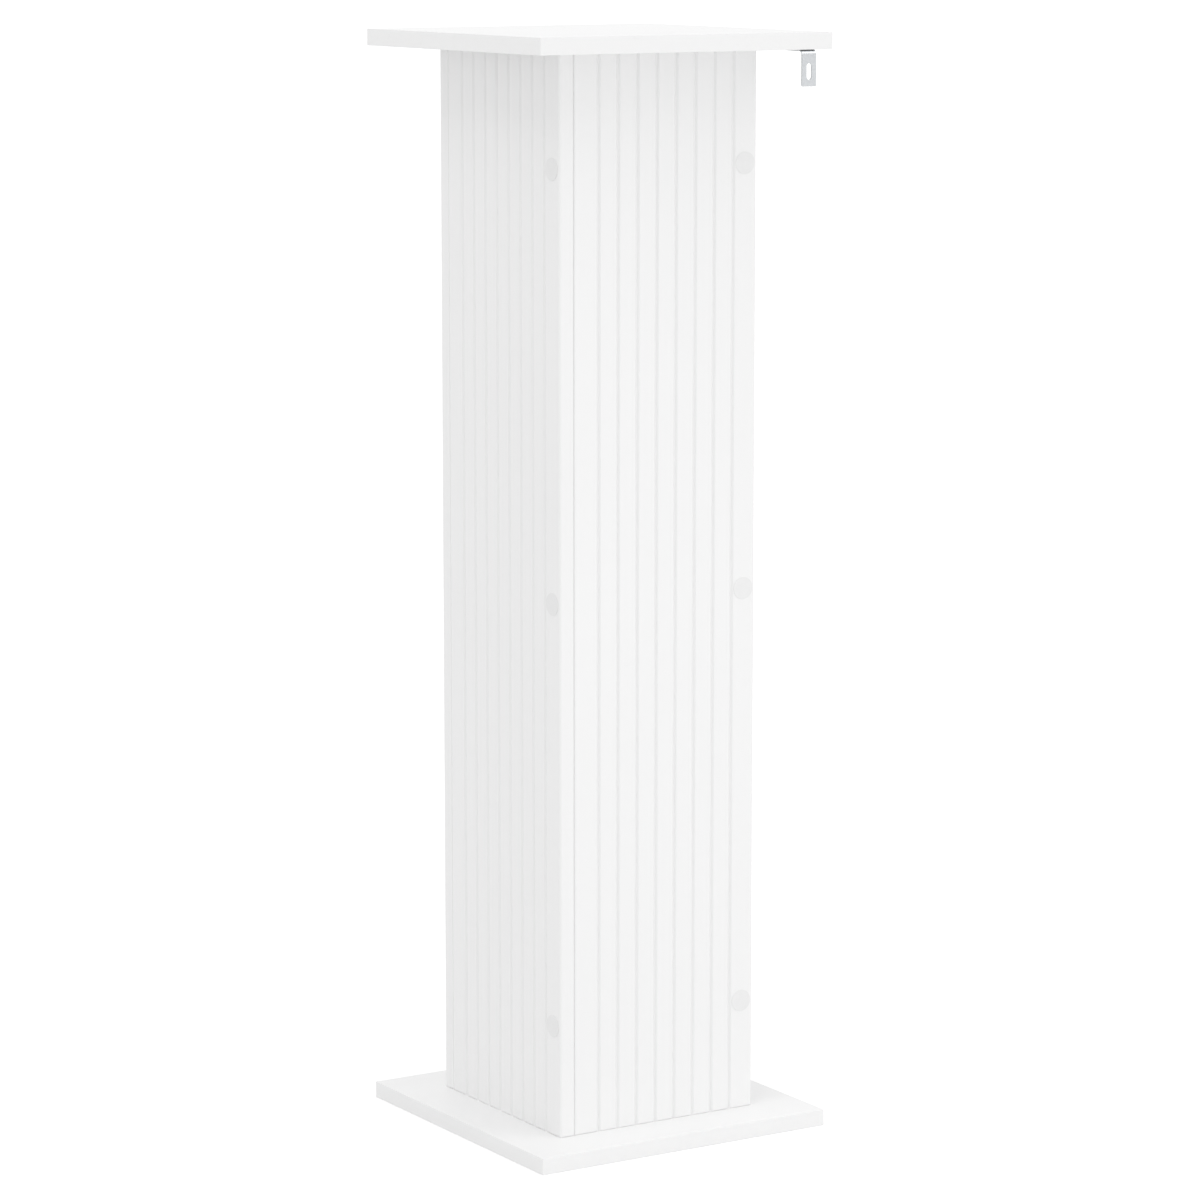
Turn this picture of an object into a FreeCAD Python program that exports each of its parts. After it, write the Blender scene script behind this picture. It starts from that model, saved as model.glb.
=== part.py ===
import FreeCAD, Part
import math
import os

# A tall square pedestal for a plant pot, built from flat panels that pack into a carton.
#
# Four identical grooved panels stand in a pinwheel: each one butts against the inner face of
# the panel on its left and covers the end of the panel on its right, so every side of the
# column shows one 15 mm panel end beside one full grooved face. Three screws close each
# upright joint, under round stick-on caps. The top board sits on dowels and is drawn down by
# cam locks in three of the panels. The fourth panel closes the column, so nobody could reach
# a cam inside it, and dowels alone locate it. The base board is screwed on from below.
# A slotted steel angle under the top board ties the stand to a wall.
#
# Millimetres. The origin is the middle of the base's underside, +Z is up, and +Y faces the
# wall. Each upright part is drawn where it stands on the wall side and turned into place.

# ---- Driving dimensions ----
STAND_HEIGHT = 990.0
TOP_SIDE = 300.0
TOP_THICKNESS = 15.0
BASE_SIDE = 300.0
BASE_THICKNESS = 15.0
PANEL_WIDTH = 190.0
PANEL_THICKNESS = 15.0

BAND_THICKNESS = 0.8  # plastic edging round both boards
BAND_ROUNDING = 0.4

GROOVE_PITCH = 20.0
GROOVE_WIDTH = 4.4  # cut with a right-angled V cutter that has a rounded tip
GROOVE_TIP_RADIUS = 0.8
LAND_WIDTH = 25.0  # least distance from a panel's side to its first groove

CORNER_ROUNDING = 2.5  # the column's four outer corners
JOINT_ROUNDING = 1.8  # both sides of the line where two panels meet
ARRIS = 0.8  # eased top and bottom edges of the panels

SCREW_LENGTH = 50.0
SCREW_HEAD_DIAMETER = 9.6
SCREW_HEAD_RIM = 1.0
SCREW_SHANK_DIAMETER = 7.0
SCREW_SHANK_LENGTH = 12.0  # head and smooth shank together
SCREW_CORE_DIAMETER = 5.0
SCREW_TIP_LENGTH = 3.0
SCREW_TIP_DIAMETER = 2.0
SCREW_SOCKET_FLATS = 6
SCREW_SOCKET_SIZE = 4.0  # across two opposite flats
SCREW_SOCKET_DEPTH = 3.0
SCREW_RECESS = 0.4  # depth of the head below the surface
SCREW_END_DISTANCE = 100.0  # from a panel's top or bottom to the nearest side screw
BASE_SCREW_INSET = 35.0  # from a panel's side

CAP_DIAMETER = 20.0
CAP_THICKNESS = 0.4

DOWEL_DIAMETER = 8.0
DOWEL_LENGTH = 30.0
DOWEL_CHAMFER = 0.8
DOWEL_INSET = 35.0  # from a panel's side

CAM_DIAMETER = 15.0
CAM_FLOOR = 3.0  # panel left behind the cam
CAM_DISTANCE = 24.0  # from the panel's top edge to the cam's centre
CAM_THICK_WALL = 3.6  # the cam's wall over the locked bolt
CAM_THIN_WALL = 1.2  # and on the far side
CAM_OPEN_ANGLE = 110.0  # turn from open to locked
CAM_CROSS_LENGTH = 6.4
CAM_CROSS_WIDTH = 1.3
CAM_CROSS_DEPTH = 2.4
BOLT_HEAD_DIAMETER = 6.0
BOLT_HEAD_LENGTH = 1.8
BOLT_NECK_DIAMETER = 3.8
BOLT_NECK_LENGTH = 7.0
BOLT_BODY_DIAMETER = 7.0
BOLT_HOLE_DIAMETER = 8.0
BOLT_THREAD_DIAMETER = 5.0

BLIND_FLOOR = 4.0  # top board left over its blind holes
HOLE_SPARE = 1.0  # blind holes are deeper than what goes into them
FIT_CLEARANCE = 0.05  # all round screws, dowels, bolts and cams

BRACKET_WIDTH = 15.0
BRACKET_THICKNESS = 1.2
BRACKET_DROP = 32.0  # below the top board
BRACKET_REACH = 30.0  # inwards from the wall
BRACKET_BEND_RADIUS = 4.5  # outside of the bend
BRACKET_OFFSET = 1.25  # from the middle of the top's overhang, towards the column
BRACKET_END_ROUNDING = 1.2
SLOT_WIDTH = 5.5
SLOT_LENGTH = 14.5
SLOT_END_MARGIN = 5.75  # from the leg's lower end

BRACKET_SCREW_DIAMETER = 3.4
BRACKET_SCREW_END_DISTANCE = 11.0  # from the flat leg's inner end
BRACKET_SCREW_TIP_LENGTH = 2.5
BRACKET_SCREW_TIP_DIAMETER = 0.8
BRACKET_CROSS_LENGTH = 3.0
BRACKET_CROSS_WIDTH = 0.8
BRACKET_CROSS_DEPTH = 1.0

CUTTER_RUNOUT = 5.0  # how far a cutter starts outside the surface that it enters
TINY = 0.001  # lengths that differ by less are the same

# ---- Places worked out from them ----
PANEL_FOOT = BASE_THICKNESS
PANEL_HEAD = STAND_HEIGHT - TOP_THICKNESS
PANEL_LENGTH = PANEL_HEAD - PANEL_FOOT
COLUMN_HALF = (PANEL_WIDTH + PANEL_THICKNESS) / 2
OUTER_FACE = COLUMN_HALF
INNER_FACE = COLUMN_HALF - PANEL_THICKNESS
MID_PLANE = COLUMN_HALF - PANEL_THICKNESS / 2
COVERING_END = -COLUMN_HALF
BUTTING_END = COVERING_END + PANEL_WIDTH

GROOVE_COUNT = 1 + int((PANEL_WIDTH - 2 * LAND_WIDTH) / GROOVE_PITCH + TINY)
GROOVE_INSET = (PANEL_WIDTH - (GROOVE_COUNT - 1) * GROOVE_PITCH) / 2
GROOVES = [GROOVE_INSET + GROOVE_PITCH * i for i in range(GROOVE_COUNT)]

SIDE_SCREW_HEIGHTS = [
    PANEL_FOOT + SCREW_END_DISTANCE,
    PANEL_FOOT + PANEL_LENGTH / 2,
    PANEL_HEAD - SCREW_END_DISTANCE,
]
SCREW_HEAD_LENGTH = SCREW_HEAD_RIM + (SCREW_HEAD_DIAMETER - SCREW_SHANK_DIAMETER) / 2
SIDE_SCREW_PLANE = COVERING_END + PANEL_THICKNESS / 2
CAP_CENTRE = COVERING_END + GROOVE_INSET / 2

DOWEL_PLACES = (DOWEL_INSET, PANEL_WIDTH - DOWEL_INSET)
BASE_SCREW_PLACES = (BASE_SCREW_INSET, PANEL_WIDTH - BASE_SCREW_INSET)
DOWEL_IN_TOP = TOP_THICKNESS - BLIND_FLOOR - HOLE_SPARE
CAM_HEIGHT = PANEL_HEAD - CAM_DISTANCE
CAM_PLACE = COVERING_END + PANEL_WIDTH / 2
CAM_RADIUS = CAM_DIAMETER / 2 - FIT_CLEARANCE
CAM_LENGTH = PANEL_THICKNESS - CAM_FLOOR - FIT_CLEARANCE
CAM_HOLLOW_RADIUS = CAM_RADIUS - (CAM_THICK_WALL + CAM_THIN_WALL) / 2
CAM_HOLLOW_OFFSET = (CAM_THICK_WALL - CAM_THIN_WALL) / 2
# The bolt's shoulder bears on the hollow's wall where the hollow is as wide as its head.
BOLT_HEAD_ROOM = BOLT_HEAD_DIAMETER / 2 + FIT_CLEARANCE
SHOULDER_TO_CAM = math.sqrt(CAM_HOLLOW_RADIUS**2 - BOLT_HEAD_ROOM**2) - CAM_HOLLOW_OFFSET
BOLT_SHOULDER = CAM_DISTANCE - SHOULDER_TO_CAM

TOP_UNDERSIDE = PANEL_HEAD
WALL_PLANE = TOP_SIDE / 2
BRACKET_MIDDLE = BRACKET_OFFSET - (COLUMN_HALF + TOP_SIDE / 2) / 2
BRACKET_FOOT = TOP_UNDERSIDE - BRACKET_DROP
BRACKET_SCREW_PLACE = WALL_PLANE - BRACKET_REACH + BRACKET_SCREW_END_DISTANCE
BRACKET_SCREW_LENGTH = BRACKET_THICKNESS + TOP_THICKNESS - BLIND_FLOOR - HOLE_SPARE

# The sides in the order a person meets them walking round, and how far each is turned from
# the wall side. The column closes with the wall-side panel, which has no cam.
SIDES = {"back": 0, "right": -90, "front": 180, "left": 90}
CLOSING_SIDE = "back"

X = FreeCAD.Vector(1, 0, 0)
Y = FreeCAD.Vector(0, 1, 0)
Z = FreeCAD.Vector(0, 0, 1)
ORIGIN = FreeCAD.Vector(0, 0, 0)


# ---- Small tools ----
def point(x, y, z):
    return FreeCAD.Vector(x, y, z)


def block(low, high):
    """A box between two corners."""
    size = high.sub(low)
    return Part.makeBox(size.x, size.y, size.z, low)


def placed(shape, base, direction):
    """A shape drawn along +Z from the origin, moved to start at base and run along direction."""
    copy = shape.copy()
    copy.Placement = FreeCAD.Placement(base, FreeCAD.Rotation(Z, direction))
    return copy


def turned(profile, base, direction):
    """A lathe-turned solid. profile is a list of (distance along the axis, radius)."""
    outline = [point(radius, 0, along) for along, radius in profile]
    outline = [point(0, 0, profile[0][0])] + outline + [point(0, 0, profile[-1][0])]
    wire = Part.makePolygon(outline + outline[:1])
    return placed(Part.Face(wire).revolve(ORIGIN, Z, 360), base, direction)


def bore(radius, depth, mouth, direction):
    """The cutter for a round hole that enters at mouth."""
    start = mouth.sub(FreeCAD.Vector(direction).multiply(CUTTER_RUNOUT))
    return Part.makeCylinder(radius, depth + CUTTER_RUNOUT, start, direction)


def cross_recess(length, width, depth):
    """The cutter for a driver's cross, centred on the origin and sunk along +Z."""
    arm = block(point(-length / 2, -width / 2, -CUTTER_RUNOUT), point(length / 2, width / 2, depth))
    other = block(point(-width / 2, -length / 2, -CUTTER_RUNOUT), point(width / 2, length / 2, depth))
    return arm.fuse(other)


def cut_all(shape, cutters):
    result = shape.cut(Part.makeCompound(cutters))
    solids = result.Solids
    return solids[0] if len(solids) == 1 else result


def on_side(shape, side):
    """A shape drawn on the wall side, turned to its own side of the column."""
    copy = shape.copy()
    copy.rotate(ORIGIN, Z, SIDES[side])
    return copy


def save(name, shapes):
    shape = shapes[0] if len(shapes) == 1 else Part.makeCompound(shapes)
    shape.exportStep(os.path.join("parts", name + ".step"))


# ---- Screws, dowels and cam fittings ----
def screw_profile(clearance):
    """The furniture screw from its head to its tip, or grown by a clearance for its hole."""
    head = SCREW_HEAD_DIAMETER / 2 + clearance
    shank = SCREW_SHANK_DIAMETER / 2 + clearance
    core = SCREW_CORE_DIAMETER / 2 + clearance
    return [
        (0, head),
        (SCREW_HEAD_RIM, head),
        (SCREW_HEAD_LENGTH, shank),
        (SCREW_SHANK_LENGTH, shank),
        (SCREW_SHANK_LENGTH + shank - core, core),
        (SCREW_LENGTH - SCREW_TIP_LENGTH, core),
        (SCREW_LENGTH, SCREW_TIP_DIAMETER / 2),
    ]


def furniture_screw(surface_point, direction):
    """A screw driven in through surface_point, its head just below the surface."""
    base = surface_point.add(FreeCAD.Vector(direction).multiply(SCREW_RECESS))
    corner_radius = SCREW_SOCKET_SIZE / 2 / math.cos(math.pi / SCREW_SOCKET_FLATS)
    turns = [2 * math.pi * i / SCREW_SOCKET_FLATS for i in range(SCREW_SOCKET_FLATS)]
    corners = [point(corner_radius * math.cos(a), corner_radius * math.sin(a), 0) for a in turns]
    hexagon = Part.Face(Part.makePolygon(corners + corners[:1]))
    socket = hexagon.extrude(point(0, 0, SCREW_SOCKET_DEPTH))
    screw = turned(screw_profile(0), ORIGIN, Z).cut(socket)
    return placed(screw.Solids[0], base, direction)


def screw_entry(surface_point, direction, board_thickness):
    """The cutter for the countersunk hole in the board that a screw's head sits in."""
    head = SCREW_HEAD_DIAMETER / 2 + FIT_CLEARANCE
    shank = SCREW_SHANK_DIAMETER / 2 + FIT_CLEARANCE
    profile = [
        (-CUTTER_RUNOUT, head),
        (SCREW_RECESS + SCREW_HEAD_RIM, head),
        (SCREW_RECESS + SCREW_HEAD_LENGTH, shank),
        (board_thickness + CUTTER_RUNOUT, shank),
    ]
    return turned(profile, surface_point, direction)


def screw_pilot(surface_point, direction):
    """The cutter for the stepped blind hole that a screw bites into behind that board."""
    core = SCREW_CORE_DIAMETER / 2 + FIT_CLEARANCE
    profile = screw_profile(FIT_CLEARANCE)[:-2] + [(SCREW_LENGTH + HOLE_SPARE, core)]
    base = surface_point.add(FreeCAD.Vector(direction).multiply(SCREW_RECESS))
    return turned(profile, base, direction)


def dowel(place):
    """A top dowel at a distance along the panel from its covering end."""
    radius = DOWEL_DIAMETER / 2
    profile = [
        (0, radius - DOWEL_CHAMFER),
        (DOWEL_CHAMFER, radius),
        (DOWEL_LENGTH - DOWEL_CHAMFER, radius),
        (DOWEL_LENGTH, radius - DOWEL_CHAMFER),
    ]
    top = TOP_UNDERSIDE + DOWEL_IN_TOP
    return turned(profile, point(COVERING_END + place, MID_PLANE, top), Z.negative())


def cam_bolt():
    """The bolt that hangs from the top board, with its head inside the cam."""
    neck_start = BOLT_SHOULDER - BOLT_NECK_LENGTH
    profile = [
        (-DOWEL_IN_TOP, BOLT_THREAD_DIAMETER / 2),
        (0, BOLT_THREAD_DIAMETER / 2),
        (0, BOLT_BODY_DIAMETER / 2),
        (neck_start, BOLT_BODY_DIAMETER / 2),
        (neck_start, BOLT_NECK_DIAMETER / 2),
        (BOLT_SHOULDER, BOLT_NECK_DIAMETER / 2),
        (BOLT_SHOULDER, BOLT_HEAD_DIAMETER / 2),
        (BOLT_SHOULDER + BOLT_HEAD_LENGTH, BOLT_HEAD_DIAMETER / 2),
    ]
    return turned(profile, point(CAM_PLACE, MID_PLANE, TOP_UNDERSIDE), Z.negative())


def cam_lock():
    """The cam drawn about its own axis: driven face at the origin, body along +Z, and the
    bolt coming in along +Y. Its hollow is off centre, so turning it pulls the bolt's head."""
    body = Part.makeCylinder(CAM_RADIUS, CAM_LENGTH)
    bolt_level = PANEL_THICKNESS / 2
    neck_room = BOLT_NECK_DIAMETER / 2 + FIT_CLEARANCE
    floor = point(0, -CAM_HOLLOW_OFFSET, bolt_level - BOLT_HEAD_ROOM)
    hollow = Part.makeCylinder(CAM_HOLLOW_RADIUS, 2 * BOLT_HEAD_ROOM, floor)
    section = [
        point(0, 0, bolt_level - neck_room),
        point(CAM_DIAMETER, 0, bolt_level - neck_room),
        point(CAM_DIAMETER, 0, bolt_level + neck_room),
        point(0, 0, bolt_level + neck_room),
    ]
    neck_slot = Part.Face(Part.makePolygon(section + section[:1])).revolve(ORIGIN, Z, CAM_OPEN_ANGLE)
    neck_half_angle = math.degrees(math.asin(neck_room / SHOULDER_TO_CAM))
    neck_slot.rotate(ORIGIN, Z, 90 - neck_half_angle)
    mouth = Part.makeCylinder(BOLT_HEAD_ROOM, CAM_DIAMETER, point(0, 0, bolt_level), Y)
    mouth.rotate(ORIGIN, Z, CAM_OPEN_ANGLE - neck_half_angle)
    cross = cross_recess(CAM_CROSS_LENGTH, CAM_CROSS_WIDTH, CAM_CROSS_DEPTH)
    return cut_all(body, [hollow.fuse(neck_slot).fuse(mouth), cross])


def cam_in_panel():
    """The locked cam in its seat in the wall-side panel's inner face."""
    cam = cam_lock()
    cam.rotate(ORIGIN, X, -90)
    cam.rotate(ORIGIN, Y, 180)
    cam.translate(point(CAM_PLACE, INNER_FACE, CAM_HEIGHT))
    return cam


# ---- Panels ----
def groove_outline(place):
    """One groove's edges in plan, from its left shoulder to its right, at a distance along
    the panel. The flanks slope at 45 degrees and meet the rounded tip tangentially."""
    middle = COVERING_END + place
    flank = GROOVE_TIP_RADIUS * math.sqrt(0.5)
    tip_centre = OUTER_FACE - GROOVE_WIDTH / 2 + GROOVE_TIP_RADIUS * math.sqrt(2)
    left_shoulder = point(middle - GROOVE_WIDTH / 2, OUTER_FACE, 0)
    left_flank = point(middle - flank, tip_centre - flank, 0)
    lowest = point(middle, tip_centre - GROOVE_TIP_RADIUS, 0)
    right_flank = point(middle + flank, tip_centre - flank, 0)
    right_shoulder = point(middle + GROOVE_WIDTH / 2, OUTER_FACE, 0)
    return [
        Part.LineSegment(left_shoulder, left_flank).toShape(),
        Part.Arc(left_flank, lowest, right_flank).toShape(),
        Part.LineSegment(right_flank, right_shoulder).toShape(),
    ]


def rounded_corner(corner, start_way, end_way, radius):
    """An arc that eases a square corner, with the points where it begins and ends."""
    begin = corner.add(FreeCAD.Vector(start_way).multiply(radius))
    end = corner.add(FreeCAD.Vector(end_way).multiply(radius))
    centre = begin.add(FreeCAD.Vector(end_way).multiply(radius))
    middle = centre.add(corner.sub(centre).normalize().multiply(radius))
    return Part.Arc(begin, middle, end).toShape(), begin, end


def panel_outline():
    """The panel's section in plan, with its grooves and eased corners."""
    left, right = X.negative(), X
    inwards, outwards = Y.negative(), Y
    joint, joint_begin, joint_end = rounded_corner(
        point(COVERING_END, INNER_FACE, 0), right, outwards, JOINT_ROUNDING
    )
    outer, outer_begin, outer_end = rounded_corner(
        point(COVERING_END, OUTER_FACE, 0), inwards, right, CORNER_ROUNDING
    )
    butt, butt_begin, butt_end = rounded_corner(
        point(BUTTING_END, OUTER_FACE, 0), left, inwards, JOINT_ROUNDING
    )
    inner_corner = point(BUTTING_END, INNER_FACE, 0)
    edges = [joint, Part.LineSegment(joint_end, outer_begin).toShape(), outer]
    last = outer_end
    for place in GROOVES:
        groove = groove_outline(place)
        shoulder = point(COVERING_END + place - GROOVE_WIDTH / 2, OUTER_FACE, 0)
        edges += [Part.LineSegment(last, shoulder).toShape()] + groove
        last = point(COVERING_END + place + GROOVE_WIDTH / 2, OUTER_FACE, 0)
    edges += [
        Part.LineSegment(last, butt_begin).toShape(),
        butt,
        Part.LineSegment(butt_end, inner_corner).toShape(),
        Part.LineSegment(inner_corner, joint_begin).toShape(),
    ]
    return Part.Wire(edges)


def arris_cutters():
    """Slanting cutters that ease the outer face and the covering end, top and bottom."""
    cutters = []
    for height, way in ((PANEL_FOOT, 1), (PANEL_HEAD, -1)):
        reach = CUTTER_RUNOUT + ARRIS
        section = [
            (OUTER_FACE - ARRIS - reach, height - way * reach),
            (OUTER_FACE + reach, height - way * reach),
            (OUTER_FACE + reach, height + way * (ARRIS + reach)),
        ]
        along_face = Part.makePolygon(
            [point(COVERING_END - reach, y, z) for y, z in section + section[:1]]
        )
        cutters.append(Part.Face(along_face).extrude(point(PANEL_WIDTH + 2 * reach, 0, 0)))
        along_end = Part.makePolygon(
            [point(-y, INNER_FACE - reach, z) for y, z in section + section[:1]]
        )
        cutters.append(Part.Face(along_end).extrude(point(0, PANEL_THICKNESS + 2 * reach, 0)))
    return cutters


def panel(with_cam):
    """The wall-side panel, drilled for its own screws, its neighbour's and the boards'."""
    outline = panel_outline()
    outline.translate(point(0, 0, PANEL_FOOT))
    body = Part.Face(outline).extrude(point(0, 0, PANEL_LENGTH))
    body = cut_all(body, arris_cutters())
    down = Z.negative()
    cutters = []
    for height in SIDE_SCREW_HEIGHTS:
        entry = point(SIDE_SCREW_PLANE, OUTER_FACE, height)
        cutters.append(screw_entry(entry, Y.negative(), PANEL_THICKNESS))
        neighbour_face = point(COLUMN_HALF, MID_PLANE, height)
        cutters.append(screw_pilot(neighbour_face, X.negative()))
    cutters += [screw_pilot(at, Z) for at in base_screw_points()]
    dowel_depth = DOWEL_LENGTH - DOWEL_IN_TOP + HOLE_SPARE
    for place in DOWEL_PLACES:
        head = point(COVERING_END + place, MID_PLANE, PANEL_HEAD)
        cutters.append(bore(DOWEL_DIAMETER / 2 + FIT_CLEARANCE, dowel_depth, head, down))
    if with_cam:
        head = point(CAM_PLACE, MID_PLANE, PANEL_HEAD)
        bolt_hole = bore(BOLT_HOLE_DIAMETER / 2, CAM_DISTANCE, head, down)
        seat = point(CAM_PLACE, INNER_FACE, CAM_HEIGHT)
        cutters.append(bolt_hole.fuse(bore(CAM_DIAMETER / 2, PANEL_THICKNESS - CAM_FLOOR, seat, Y)))
    return cut_all(body, cutters)


def side_screws():
    """The screws through the wall-side panel into the end of the panel on its right."""
    return [
        furniture_screw(point(SIDE_SCREW_PLANE, OUTER_FACE, height), Y.negative())
        for height in SIDE_SCREW_HEIGHTS
    ]


def side_caps():
    """The stick-on caps over those screws, in the middle of the flat beside the grooves."""
    cap = Part.makeCylinder(CAP_DIAMETER / 2, CAP_THICKNESS)
    return [placed(cap, point(CAP_CENTRE, OUTER_FACE, height), Y) for height in SIDE_SCREW_HEIGHTS]


# ---- Boards ----
def board_core(board_side, low, high):
    """A board without its edging."""
    half = board_side / 2 - BAND_THICKNESS
    return block(point(-half, -half, low), point(half, half, high))


def board_band(board_side, low, high, side):
    """One strip of edging. The back and front strips cover the ends of the other two."""
    covers = side in ("back", "front")
    outer = board_side / 2
    half_length = outer if covers else outer - BAND_THICKNESS
    strip = block(
        point(-half_length, outer - BAND_THICKNESS, low), point(half_length, outer, high)
    )
    eased = [
        edge
        for edge in strip.Edges
        if edge.BoundBox.YMin > outer - BAND_THICKNESS / 2
        and (covers or edge.BoundBox.XLength > half_length)
    ]
    return on_side(strip.makeFillet(BAND_ROUNDING, eased), side)


def top_board():
    """The top board, with blind holes in its underside."""
    screw_hole_depth = BRACKET_SCREW_LENGTH - BRACKET_THICKNESS + HOLE_SPARE
    screw_hole_radius = BRACKET_SCREW_DIAMETER / 2 + FIT_CLEARANCE
    screw_mouth = bracket_screw_head().add(point(0, 0, BRACKET_THICKNESS))
    cutters = [bore(screw_hole_radius, screw_hole_depth, screw_mouth, Z)]
    blind = TOP_THICKNESS - BLIND_FLOOR
    for side in SIDES:
        for place in DOWEL_PLACES:
            mouth = point(COVERING_END + place, MID_PLANE, TOP_UNDERSIDE)
            hole = bore(DOWEL_DIAMETER / 2 + FIT_CLEARANCE, blind, mouth, Z)
            cutters.append(on_side(hole, side))
        if side != CLOSING_SIDE:
            mouth = point(CAM_PLACE, MID_PLANE, TOP_UNDERSIDE)
            hole = bore(BOLT_THREAD_DIAMETER / 2 + FIT_CLEARANCE, blind, mouth, Z)
            cutters.append(on_side(hole, side))
    return cut_all(board_core(TOP_SIDE, TOP_UNDERSIDE, STAND_HEIGHT), cutters)


def base_screw_points():
    return [point(COVERING_END + place, MID_PLANE, 0) for place in BASE_SCREW_PLACES]


def base_board():
    """The base board, countersunk from below."""
    cutters = [
        on_side(screw_entry(at, Z, BASE_THICKNESS), side)
        for side in SIDES
        for at in base_screw_points()
    ]
    return cut_all(board_core(BASE_SIDE, 0, BASE_THICKNESS), cutters)


# ---- Wall fixing ----
def bracket_screw_head():
    """The middle of the screw's flat head, flush with the angle's underside."""
    return point(BRACKET_MIDDLE, BRACKET_SCREW_PLACE, TOP_UNDERSIDE - BRACKET_THICKNESS)


def bracket_outline():
    """The angle seen from the side: flat leg under the board, bend, leg down the wall."""
    top, foot = TOP_UNDERSIDE, BRACKET_FOOT
    wall, end = WALL_PLANE, WALL_PLANE - BRACKET_REACH
    outside, thick = BRACKET_BEND_RADIUS, BRACKET_THICKNESS
    inside = outside - thick
    middle_y, middle_z = wall - outside, top - outside
    diagonal = math.sqrt(0.5)
    corners = [
        point(0, wall, foot),
        point(0, wall, middle_z),
        point(0, middle_y, top),
        point(0, end, top),
        point(0, end, top - thick),
        point(0, middle_y, top - thick),
        point(0, wall - thick, middle_z),
        point(0, wall - thick, foot),
    ]
    outer_middle = point(0, middle_y + outside * diagonal, middle_z + outside * diagonal)
    inner_middle = point(0, middle_y + inside * diagonal, middle_z + inside * diagonal)
    return Part.Wire(
        [
            Part.LineSegment(corners[0], corners[1]).toShape(),
            Part.Arc(corners[1], outer_middle, corners[2]).toShape(),
            Part.LineSegment(corners[2], corners[3]).toShape(),
            Part.LineSegment(corners[3], corners[4]).toShape(),
            Part.LineSegment(corners[4], corners[5]).toShape(),
            Part.Arc(corners[5], inner_middle, corners[6]).toShape(),
            Part.LineSegment(corners[6], corners[7]).toShape(),
            Part.LineSegment(corners[7], corners[0]).toShape(),
        ]
    )


def wall_bracket():
    """The steel angle, with a slot for the wall screw and a countersunk hole for its own."""
    section = bracket_outline()
    section.translate(point(BRACKET_MIDDLE - BRACKET_WIDTH / 2, 0, 0))
    angle = Part.Face(section).extrude(point(BRACKET_WIDTH, 0, 0))
    inner_end = WALL_PLANE - BRACKET_REACH
    end_corners = [
        edge
        for edge in angle.Edges
        if abs(edge.Length - BRACKET_THICKNESS) < TINY
        and (edge.BoundBox.ZMax < BRACKET_FOOT + TINY or edge.BoundBox.YMax < inner_end + TINY)
    ]
    angle = angle.makeFillet(BRACKET_END_ROUNDING, end_corners)
    slot_middle = BRACKET_FOOT + SLOT_END_MARGIN + SLOT_LENGTH / 2
    half_run = (SLOT_LENGTH - SLOT_WIDTH) / 2
    outside_wall = WALL_PLANE + CUTTER_RUNOUT
    depth = BRACKET_THICKNESS + 2 * CUTTER_RUNOUT
    inwards = Y.negative()
    slot = block(
        point(BRACKET_MIDDLE - SLOT_WIDTH / 2, outside_wall - depth, slot_middle - half_run),
        point(BRACKET_MIDDLE + SLOT_WIDTH / 2, outside_wall, slot_middle + half_run),
    )
    for height in (slot_middle - half_run, slot_middle + half_run):
        start = point(BRACKET_MIDDLE, outside_wall, height)
        slot = slot.fuse(Part.makeCylinder(SLOT_WIDTH / 2, depth, start, inwards))
    shank = BRACKET_SCREW_DIAMETER / 2 + FIT_CLEARANCE
    countersink = [
        (-CUTTER_RUNOUT, shank + BRACKET_THICKNESS + CUTTER_RUNOUT),
        (BRACKET_THICKNESS, shank),
        (BRACKET_THICKNESS + CUTTER_RUNOUT, shank),
    ]
    return cut_all(angle, [slot, turned(countersink, bracket_screw_head(), Z)])


def bracket_screw():
    """The screw that holds the angle to the top board, driven from below. Its right-angled
    head is as deep as the angle is thick."""
    shank = BRACKET_SCREW_DIAMETER / 2
    profile = [
        (0, shank + BRACKET_THICKNESS),
        (BRACKET_THICKNESS, shank),
        (BRACKET_SCREW_LENGTH - BRACKET_SCREW_TIP_LENGTH, shank),
        (BRACKET_SCREW_LENGTH, BRACKET_SCREW_TIP_DIAMETER / 2),
    ]
    cross = cross_recess(BRACKET_CROSS_LENGTH, BRACKET_CROSS_WIDTH, BRACKET_CROSS_DEPTH)
    screw = cut_all(turned(profile, ORIGIN, Z), [cross])
    return placed(screw, bracket_screw_head(), Z)


# ---- The whole stand ----
def build():
    os.makedirs("parts", exist_ok=True)
    save("top_board", [top_board()])
    save("base_board", [base_board()])
    plain_panel = panel(with_cam=False)
    cam_panel = panel(with_cam=True)
    screws = side_screws()
    caps = side_caps()
    for side in SIDES:
        save("top_band_" + side, [board_band(TOP_SIDE, TOP_UNDERSIDE, STAND_HEIGHT, side)])
        save("base_band_" + side, [board_band(BASE_SIDE, 0, BASE_THICKNESS, side)])
        drilled = plain_panel if side == CLOSING_SIDE else cam_panel
        save(side + "_panel", [on_side(drilled, side)])
        save(side + "_panel_screws", [on_side(screw, side) for screw in screws])
        save(side + "_panel_caps", [on_side(cap, side) for cap in caps])
    cam_sides = [side for side in SIDES if side != CLOSING_SIDE]
    save("cam_bolts", [on_side(cam_bolt(), side) for side in cam_sides])
    save("cam_locks", [on_side(cam_in_panel(), side) for side in cam_sides])
    save("top_dowels", [on_side(dowel(place), side) for side in SIDES for place in DOWEL_PLACES])
    base_screws = [
        on_side(furniture_screw(at, Z), side) for side in SIDES for at in base_screw_points()
    ]
    save("base_screws", base_screws)
    save("wall_bracket", [wall_bracket()])
    save("bracket_screw", [bracket_screw()])


build()
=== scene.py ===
import math

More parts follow.
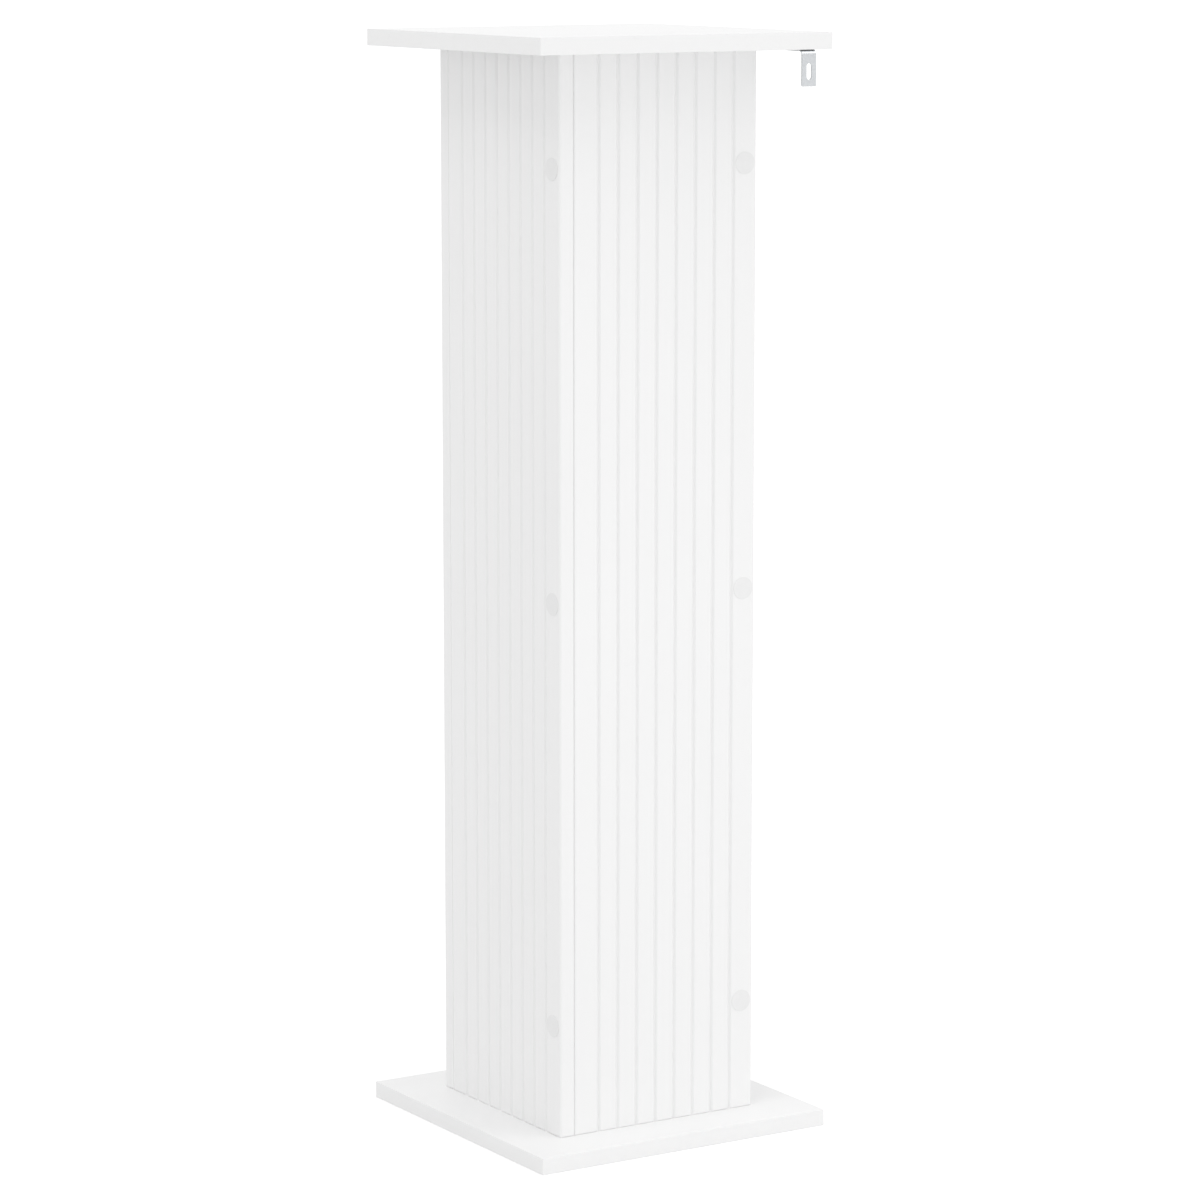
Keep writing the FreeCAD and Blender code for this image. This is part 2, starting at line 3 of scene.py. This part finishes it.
import bpy
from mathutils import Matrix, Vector


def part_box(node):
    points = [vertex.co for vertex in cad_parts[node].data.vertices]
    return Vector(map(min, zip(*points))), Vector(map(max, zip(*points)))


# The looks of a white pedestal stand: satin melamine boards with plastic edging, lacquered
# panels with V grooves, stick-on caps and a zinc-plated angle, in a plain white studio.
# Metres, in the same frame as the solids: +Z up, and +Y towards the wall.

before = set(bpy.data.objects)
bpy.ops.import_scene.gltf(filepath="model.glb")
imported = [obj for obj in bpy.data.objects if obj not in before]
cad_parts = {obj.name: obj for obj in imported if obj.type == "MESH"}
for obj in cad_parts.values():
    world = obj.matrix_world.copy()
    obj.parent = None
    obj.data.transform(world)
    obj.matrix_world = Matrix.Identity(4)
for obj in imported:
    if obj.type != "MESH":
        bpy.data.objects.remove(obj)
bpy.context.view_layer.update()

MM = 0.001
SIDES = ("back", "right", "front", "left")

# ---- Places read from the solids ----
OUTER_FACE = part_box("back_panel")[1].y  # the panels' faces, out from the middle
BUTTING_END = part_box("back_panel")[1].x  # where a panel stops and its neighbour's end shows
BOARD_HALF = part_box("top_board")[1].x  # without the edging; the base board is as wide
ANGLE_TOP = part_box("wall_bracket")[1].z
ANGLE_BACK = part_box("wall_bracket")[1].y
BEND_RADIUS = 4.5 * MM  # outside the angle's bend

# ---- Camera: where the photographer stood ----
CAMERA_PLACE = Vector((2.078, 3.324, 1.111))
CAMERA_HEADING = 147.95  # degrees, as a turn from looking along +Y
CAMERA_TILT = 9.175  # degrees below level
CAMERA_LENS = 131.5  # millimetres
CAMERA_SENSOR = 36.0  # millimetres along each side of a square
NEAREST_SEEN = 0.1
FARTHEST_SEEN = 200.0

# ---- Light: directions point towards the light ----
WHITE = (1, 1, 1, 1)
SKY_LIGHT = 0.88
BACKGROUND_WHITE = 1.0
FLOOR_HALF = 60.0
FLOOR_COLOUR = (0.80, 0.80, 0.80, 1)
FLOOR_GLOW = 0.3  # added to what the camera sees of the floor, which keeps its shadows
SOFT_LIGHT_SPREAD = 30.0  # degrees across
HIGH_LIGHT = 0.40
HIGH_LIGHT_DIRECTION = Vector((0.483, 0.129, 0.866))
CROSS_LIGHT = 0.27
CROSS_LIGHT_DIRECTION = Vector((-0.542, 0.455, 0.707))
LOW_LIGHT_WATTS = 4.8
LOW_LIGHT_PLACE = Vector((-0.57, 2.13, 0.32))  # just clears the floor, facing the wall side
LOW_LIGHT_AIM = Vector((0, 0, 0.5))
LOW_LIGHT_WIDTH = 1.0
LOW_LIGHT_HEIGHT = 0.6

# ---- Finishes ----
BOARD_WHITE = (0.893, 0.893, 0.893)
EDGING_WHITE = (0.875, 0.875, 0.875)
PANEL_WHITE = (0.871, 0.871, 0.871)
CAP_WHITE = (0.820, 0.820, 0.820)
ZINC = (0.66, 0.675, 0.69)
SHEET_ZINC = (0.565, 0.58, 0.595)
DIE_CASTING_GREY = (0.52, 0.52, 0.53)
BEECH_BROWN = (0.62, 0.44, 0.27)

NOISE_MIDDLE = (0.3, 0.7)  # noise runs from 0 to 1, and most of it lies in here
EDGE_SAMPLES = 8

# Each band is the stretch over which an effect comes in or dies away.
GLUE_BAND = (0.05 * MM, 0.25 * MM)  # in from a board's rim
GLUE_SHADE = 0.86
GROOVE_BAND = (0.25 * MM, 1.4 * MM)  # in from a panel's face
PANEL_END_BAND = (BUTTING_END, BUTTING_END + 0.2 * MM)  # to the left along a side
PANEL_END_SOAKED = 0.4  # as a share of how far the lacquer soaks into the grooves
SOAKED_ROUGHNESS = 0.2
BEND_BAND = (0.7 * BEND_RADIUS, 1.1 * BEND_RADIUS)  # in from the angle's top, or its back
# Colour lift on the outside of the angle's bend: a painted highlight.
PAINTED_BEND_HIGHLIGHT = 1.22
BURNISH_SMOOTHING = 0.12
# Darkening in the crevice at the top of the angle, under the board: painted shade.
CREVICE_SHADE_BAND = (0.8 * MM, 1.4 * MM)  # down from the angle's top
PAINTED_CREVICE_SHADE = 0.4


class Finish:
    """A material's nodes, with short calls for the maths that the finishes share."""

    def __init__(self, name, metallic=0.0):
        self.material = bpy.data.materials.new(name)
        self.material.use_nodes = True
        self.tree = self.material.node_tree
        self.shader = self.tree.nodes["Principled BSDF"]
        self.shader.inputs["Metallic"].default_value = metallic
        self.place = self.node("ShaderNodeTexCoord").outputs["Object"]
        split = self.node("ShaderNodeSeparateXYZ")
        self.link(self.place, split.inputs[0])
        self.x, self.y, self.z = split.outputs

    def node(self, kind, **settings):
        made = self.tree.nodes.new(kind)
        for key, value in settings.items():
            setattr(made, key, value)
        return made

    def link(self, source, target):
        self.tree.links.new(source, target)

    def feed(self, value, target):
        """Set a socket to a number, or link it to another socket."""
        if isinstance(value, (int, float)):
            target.default_value = value
        else:
            self.link(value, target)

    def maths(self, operation, first, second=0.0):
        made = self.node("ShaderNodeMath", operation=operation)
        self.feed(first, made.inputs[0])
        self.feed(second, made.inputs[1])
        return made.outputs[0]

    def fade(self, value, begin, end, low=0.0, high=1.0):
        """A smooth ramp from low to high as value goes from begin to end."""
        made = self.node("ShaderNodeMapRange", interpolation_type="SMOOTHSTEP")
        for socket, number in zip(made.inputs, (value, begin, end, low, high)):
            self.feed(number, socket)
        return made.outputs[0]

    def vary(self, noise, low, high):
        """A number that drifts between low and high with the noise."""
        return self.fade(noise, *NOISE_MIDDLE, low, high)

    def noise(self, size, detail=2.0, stretch=(1, 1, 1), roughness=0.5):
        """Noise with features about size metres across, drawn out by stretch."""
        mapping = self.node("ShaderNodeMapping")
        self.link(self.place, mapping.inputs["Vector"])
        mapping.inputs["Scale"].default_value = [1 / (size * s) for s in stretch]
        made = self.node("ShaderNodeTexNoise")
        self.link(mapping.outputs[0], made.inputs["Vector"])
        made.inputs["Scale"].default_value = 1.0
        made.inputs["Detail"].default_value = detail
        made.inputs["Roughness"].default_value = roughness
        return made.outputs[0]

    def colour(self, base, factor):
        """The base colour, scaled all over by a factor that varies."""
        made = self.node("ShaderNodeVectorMath", operation="SCALE")
        made.inputs[0].default_value = base
        self.feed(factor, made.inputs["Scale"])
        self.link(made.outputs[0], self.shader.inputs["Base Color"])

    def roughness(self, value):
        self.feed(value, self.shader.inputs["Roughness"])

    def bumps(self, *layers, edge_radius=0.0):
        """Stack bump layers, each a (height, depth in metres) pair, over edges that look
        rounded to a radius."""
        normal = None
        if edge_radius:
            rounded = self.node("ShaderNodeBevel", samples=EDGE_SAMPLES)
            rounded.inputs["Radius"].default_value = edge_radius
            normal = rounded.outputs[0]
        for height, depth in layers:
            made = self.node("ShaderNodeBump")
            made.inputs["Strength"].default_value = 1.0
            made.inputs["Distance"].default_value = depth
            self.link(height, made.inputs["Height"])
            if normal is not None:
                self.link(normal, made.inputs["Normal"])
            normal = made.outputs[0]
        self.link(normal, self.shader.inputs["Normal"])

    def plan_distance(self):
        """How far out a point lies, measured square to the nearest side."""
        across_x = self.maths("ABSOLUTE", self.x)
        across_y = self.maths("ABSOLUTE", self.y)
        return self.maths("MAXIMUM", across_x, across_y)

    def place_along_side(self):
        """How far a point on an upright face lies to the left of the middle of its side."""
        normal = self.node("ShaderNodeSeparateXYZ")
        self.link(self.node("ShaderNodeNewGeometry").outputs["True Normal"], normal.inputs[0])
        normal_x, normal_y, _ = normal.outputs
        x_part = self.maths("MULTIPLY", self.x, normal_y)
        y_part = self.maths("MULTIPLY", self.y, normal_x)
        return self.maths("SUBTRACT", x_part, y_part)


def melamine():
    """Satin board surface with a fine pearl grain and a hairline of glue beside the edging."""
    finish = Finish("white_melamine")
    pearl = finish.noise(0.9 * MM, detail=3.0)
    cloud = finish.noise(60 * MM)
    rubbed = finish.noise(5 * MM, detail=4.0, stretch=(9, 1, 1))
    to_edge = finish.maths("SUBTRACT", BOARD_HALF, finish.plan_distance())
    glue = finish.fade(to_edge, *GLUE_BAND, GLUE_SHADE, 1.0)
    finish.colour(BOARD_WHITE, finish.maths("MULTIPLY", glue, finish.vary(cloud, 0.99, 1.0)))
    marks = finish.fade(rubbed, begin=0.45, end=0.75, low=0.0, high=0.08)
    finish.roughness(finish.maths("ADD", finish.vary(cloud, 0.40, 0.47), marks))
    finish.bumps((cloud, 0.12 * MM), (pearl, 0.012 * MM))
    return finish.material


def edging():
    """Plastic edge band: smoother than the board, with faint trimming ripples along it."""
    finish = Finish("white_edging")
    ripple = finish.noise(3.5 * MM, detail=1.0, stretch=(1, 1, 12))
    pebble = finish.noise(1.4 * MM)
    wear = finish.noise(9 * MM, detail=5.0, roughness=0.7)
    finish.colour(EDGING_WHITE, finish.fade(wear, begin=0.55, end=0.85, low=1.0, high=0.965))
    finish.roughness(finish.vary(wear, 0.33, 0.44))
    finish.bumps((ripple, 0.02 * MM), (pebble, 0.01 * MM))
    return finish.material


def lacquer():
    """Satin lacquer on the panels. It soaks in and turns matt and fibrous in the grooves, and
    less so on the sanded panel ends."""
    finish = Finish("white_lacquer")
    peel = finish.noise(2.2 * MM)
    cloud = finish.noise(80 * MM)
    fibre = finish.noise(0.35 * MM, detail=3.0, stretch=(1, 1, 14))
    handling = finish.noise(14 * MM, detail=5.0, roughness=0.65)
    depth = finish.maths("SUBTRACT", OUTER_FACE, finish.plan_distance())
    groove = finish.fade(depth, *GROOVE_BAND)
    panel_end = finish.fade(finish.place_along_side(), *PANEL_END_BAND)
    soaked_end = finish.maths("MULTIPLY", panel_end, PANEL_END_SOAKED)
    soaked = finish.maths("MAXIMUM", groove, soaked_end)
    finish.colour(PANEL_WHITE, finish.fade(handling, begin=0.6, end=0.85, low=1.0, high=0.985))
    roughened = finish.maths("MULTIPLY", soaked, SOAKED_ROUGHNESS)
    finish.roughness(finish.maths("ADD", finish.vary(cloud, 0.38, 0.45), roughened))
    raised_fibre = finish.maths("MULTIPLY", fibre, soaked)
    finish.bumps((cloud, 0.10 * MM), (peel, 0.016 * MM), (raised_fibre, 0.03 * MM))
    return finish.material


def cap_film():
    """Off-white self-adhesive disc, faintly pebbled."""
    finish = Finish("cap_film")
    pebble = finish.noise(0.6 * MM)
    cloud = finish.noise(8 * MM)
    finish.colour(CAP_WHITE, finish.vary(cloud, 0.985, 1.0))
    finish.roughness(finish.vary(cloud, 0.36, 0.46))
    finish.bumps((cloud, 0.05 * MM), (pebble, 0.012 * MM))
    return finish.material


def screw_zinc():
    """Bright zinc on screws and bolts, with fine upright lines and eased edges."""
    finish = Finish("screw_zinc", metallic=1.0)
    mottle = finish.noise(0.8 * MM, detail=3.0, roughness=0.6)
    lines = finish.noise(0.25 * MM, detail=3.0, stretch=(1, 1, 25))
    finish.colour(ZINC, finish.vary(mottle, 0.93, 1.03))
    finish.roughness(finish.vary(mottle, 0.30, 0.42))
    finish.bumps((mottle, 0.02 * MM), (lines, 0.006 * MM), edge_radius=0.1 * MM)
    return finish.material


def sheet_zinc():
    """Zinc-plated sheet with a soft spangle. The press has burnished the outside of the bend, which is
    smoother and carries a painted highlight in its colour.
    A painted shade darkens the crevice above the bend, under the board."""
    finish = Finish("sheet_zinc", metallic=1.0)
    spangle = finish.noise(1.5 * MM, detail=3.0, roughness=0.6)
    drawn = finish.noise(0.25 * MM, detail=3.0, stretch=(1, 1, 25))
    from_top = finish.maths("SUBTRACT", ANGLE_TOP, finish.z)
    from_back = finish.maths("SUBTRACT", ANGLE_BACK, finish.y)
    near_top = finish.fade(from_top, *BEND_BAND, 1.0, 0.0)
    near_back = finish.fade(from_back, *BEND_BAND, 1.0, 0.0)
    bend_burnish_and_highlight = finish.maths("MULTIPLY", near_top, near_back)
    # Painted shade: the colour darkens in the crevice at the top of the bend, under the board.
    crevice_shade_mask = finish.maths("MULTIPLY", finish.fade(from_top, *CREVICE_SHADE_BAND, 1.0, 0.0), near_back)
    # Painted highlight: the colour is lifted on the outside of the bend.
    painted_highlight = finish.fade(bend_burnish_and_highlight, 0.0, 1.0, 1.0, PAINTED_BEND_HIGHLIGHT)
    painted_shade = finish.fade(crevice_shade_mask, 0.0, 1.0, 1.0, PAINTED_CREVICE_SHADE)
    metal = finish.maths("MULTIPLY", finish.vary(spangle, 0.95, 1.03), painted_highlight)
    finish.colour(SHEET_ZINC, finish.maths("MULTIPLY", metal, painted_shade))
    smoother = finish.maths("MULTIPLY", bend_burnish_and_highlight, BURNISH_SMOOTHING)
    finish.roughness(finish.maths("SUBTRACT", finish.vary(spangle, 0.30, 0.42), smoother))
    finish.bumps((spangle, 0.02 * MM), (drawn, 0.006 * MM), edge_radius=0.15 * MM)
    return finish.material


def die_casting():
    """Dull grey zinc, cast with a fine grain."""
    finish = Finish("die_casting", metallic=1.0)
    grain = finish.noise(0.5 * MM, detail=3.0)
    finish.colour(DIE_CASTING_GREY, finish.vary(grain, 0.9, 1.0))
    finish.roughness(finish.vary(grain, 0.5, 0.62))
    finish.bumps((grain, 0.02 * MM))
    return finish.material


def beech():
    """Plain beech, with its pores drawn out along the upright dowels."""
    finish = Finish("beech")
    pores = finish.noise(0.4 * MM, detail=3.0, stretch=(1, 1, 12))
    finish.colour(BEECH_BROWN, finish.vary(pores, 0.82, 1.05))
    finish.roughness(finish.vary(pores, 0.6, 0.75))
    finish.bumps((pores, 0.03 * MM))
    return finish.material


def dress(material, nodes):
    for name in nodes:
        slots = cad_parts[name].data.materials
        slots.clear()
        slots.append(material)


def dress_all():
    dress(melamine(), ["top_board", "base_board"])
    dress(edging(), [board + side for board in ("top_band_", "base_band_") for side in SIDES])
    dress(lacquer(), [side + "_panel" for side in SIDES])
    dress(cap_film(), [side + "_panel_caps" for side in SIDES])
    dress(sheet_zinc(), ["wall_bracket"])
    screws = [side + "_panel_screws" for side in SIDES] + ["base_screws", "bracket_screw", "cam_bolts"]
    dress(screw_zinc(), screws)
    dress(die_casting(), ["cam_locks"])
    dress(beech(), ["top_dowels"])


# ---- Studio ----
def make_camera():
    data = bpy.data.cameras.new("camera")
    data.sensor_width = CAMERA_SENSOR
    data.lens = CAMERA_LENS
    data.clip_start = NEAREST_SEEN
    data.clip_end = FARTHEST_SEEN
    camera = bpy.data.objects.new("camera", data)
    bpy.context.scene.collection.objects.link(camera)
    camera.location = CAMERA_PLACE
    camera.rotation_euler = (math.radians(90 - CAMERA_TILT), 0, math.radians(CAMERA_HEADING))
    bpy.context.scene.camera = camera


def add_lamp(name, kind, strength, towards_light):
    data = bpy.data.lights.new(name, kind)
    data.energy = strength
    lamp = bpy.data.objects.new(name, data)
    bpy.context.scene.collection.objects.link(lamp)
    lamp.rotation_euler = towards_light.to_track_quat("Z", "Y").to_euler()
    lamp.visible_camera = False
    return lamp


def make_lamps():
    """A soft light high up on the +X side, a fainter one across from it, and a soft box low in
    front of the wall side."""
    high = add_lamp("high_light", "SUN", HIGH_LIGHT, HIGH_LIGHT_DIRECTION)
    cross = add_lamp("cross_light", "SUN", CROSS_LIGHT, CROSS_LIGHT_DIRECTION)
    for lamp in (high, cross):
        lamp.data.angle = math.radians(SOFT_LIGHT_SPREAD)
    low = add_lamp("low_light", "AREA", LOW_LIGHT_WATTS, LOW_LIGHT_PLACE - LOW_LIGHT_AIM)
    low.location = LOW_LIGHT_PLACE
    low.data.shape = "RECTANGLE"
    low.data.size = LOW_LIGHT_WIDTH
    low.data.size_y = LOW_LIGHT_HEIGHT


def add_node(tree, kind, **values):
    """A node, with the sockets that are named set to their values."""
    made = tree.nodes.new(kind)
    for name, value in values.items():
        made.inputs[name].default_value = value
    return made


def seen_directly(tree):
    """1 for what the camera, a glossy surface or a clear one sees, and 0 for other light."""
    path = add_node(tree, "ShaderNodeLightPath")
    total = path.outputs["Is Camera Ray"]
    for name in ("Is Glossy Ray", "Is Transmission Ray"):
        larger = add_node(tree, "ShaderNodeMath")
        larger.operation = "MAXIMUM"
        tree.links.new(total, larger.inputs[0])
        tree.links.new(path.outputs[name], larger.inputs[1])
        total = larger.outputs[0]
    return total


def make_world():
    world = bpy.data.worlds.new("studio")
    bpy.context.scene.world = world
    world.use_nodes = True
    tree = world.node_tree
    tree.nodes.clear()
    light = add_node(tree, "ShaderNodeBackground", Color=WHITE, Strength=SKY_LIGHT)
    shown = add_node(tree, "ShaderNodeBackground", Color=WHITE, Strength=BACKGROUND_WHITE)
    mix = add_node(tree, "ShaderNodeMixShader")
    output = add_node(tree, "ShaderNodeOutputWorld")
    tree.links.new(seen_directly(tree), mix.inputs[0])
    tree.links.new(light.outputs[0], mix.inputs[1])
    tree.links.new(shown.outputs[0], mix.inputs[2])
    tree.links.new(mix.outputs[0], output.inputs[0])


def floor_material():
    """Matt pale grey, with a glow that only the camera and clear or glossy surfaces see."""
    material = bpy.data.materials.new("floor")
    material.use_nodes = True
    tree = material.node_tree
    tree.nodes.clear()
    matt = add_node(tree, "ShaderNodeBsdfDiffuse", Color=FLOOR_COLOUR)
    glow = add_node(tree, "ShaderNodeEmission", Color=WHITE)
    strength = add_node(tree, "ShaderNodeMath")
    strength.operation = "MULTIPLY"
    strength.inputs[1].default_value = FLOOR_GLOW
    both = add_node(tree, "ShaderNodeAddShader")
    output = add_node(tree, "ShaderNodeOutputMaterial")
    tree.links.new(seen_directly(tree), strength.inputs[0])
    tree.links.new(strength.outputs[0], glow.inputs["Strength"])
    tree.links.new(matt.outputs[0], both.inputs[0])
    tree.links.new(glow.outputs[0], both.inputs[1])
    tree.links.new(both.outputs[0], output.inputs[0])
    return material


def make_floor():
    mesh = bpy.data.meshes.new("floor")
    corners = [(FLOOR_HALF * x, FLOOR_HALF * y, 0) for x, y in ((-1, -1), (1, -1), (1, 1), (-1, 1))]
    mesh.from_pydata(corners, [], [(0, 1, 2, 3)])
    mesh.materials.append(floor_material())
    floor = bpy.data.objects.new("floor", mesh)
    bpy.context.scene.collection.objects.link(floor)


bpy.context.scene.view_settings.view_transform = "Standard"
make_camera()
dress_all()
make_world()
make_floor()
make_lamps()
